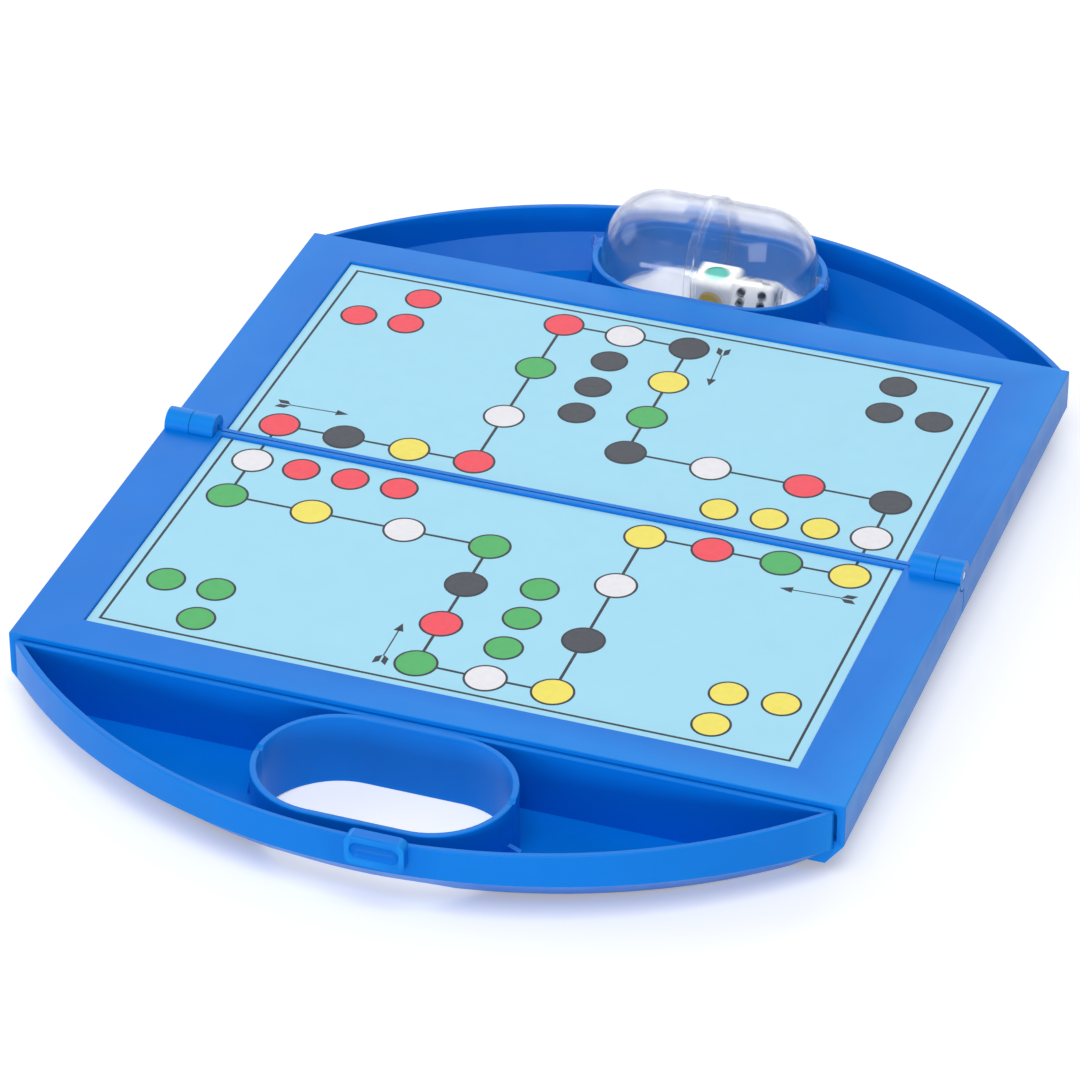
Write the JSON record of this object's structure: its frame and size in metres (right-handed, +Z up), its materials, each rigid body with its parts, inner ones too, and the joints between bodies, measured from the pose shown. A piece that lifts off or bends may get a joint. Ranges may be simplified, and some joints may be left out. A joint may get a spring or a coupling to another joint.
{
  "type": "folding ludo board box",
  "caption": "Folding ludo board box that opens flat on a top hinge, with curved end trays, a carrying hole and a spinning clear dice capsule.",
  "frame": {"origin": "middle of the opened board, below the hinge line, on the plane that it rests on", "axes": "+X along the hinge, +Y towards the half with the dice capsule, +Z up from the board"},
  "size_m": [0.25, 0.3542, 0.0441],
  "materials": {
    "blue_plastic": "moulded, semi-gloss",
    "card_print": "printed film",
    "print_ink": "printed",
    "clear_plastic": "clear, polished",
    "die_plastic": "moulded, glossy",
    "die_paint": "painted spots",
    "pin_steel": "drawn wire"
  },
  "bodies": {
    "near_half": {"near_body": "blue_plastic", "near_base_cover": "blue_plastic", "near_tray": "blue_plastic", "near_card": "card_print", "left_hinge_pin": "pin_steel", "right_hinge_pin": "pin_steel"},
    "far_half": {"far_body": "blue_plastic", "far_base_cover": "blue_plastic", "far_tray": "blue_plastic", "far_card": "card_print"},
    "capsule": {"capsule_left": "clear_plastic", "capsule_right": "clear_plastic"},
    "number_die": {"pip_die": "die_plastic"},
    "spot_die": {"colour_die": "die_plastic"}
  },
  "joints": [
    {"name": "fold", "type": "hinge", "parent": "near_half", "child": "far_half", "pos_m": [0, 0, 0.0236], "axis": [1, 0, 0], "range_deg": [0, 180]},
    {"name": "capsule_spin", "type": "hinge", "parent": "far_half", "child": "capsule", "pos_m": [0, 0.145, 0.0227], "axis": [1, 0, 0], "continuous": true},
    {"name": "number_die_hop", "type": "slide", "parent": "capsule", "child": "number_die", "axis": [0, 0, 1], "range_m": [0, 0.014]},
    {"name": "spot_die_hop", "type": "slide", "parent": "capsule", "child": "spot_die", "axis": [0, 0, 1], "range_m": [0, 0.014]}
  ]
}
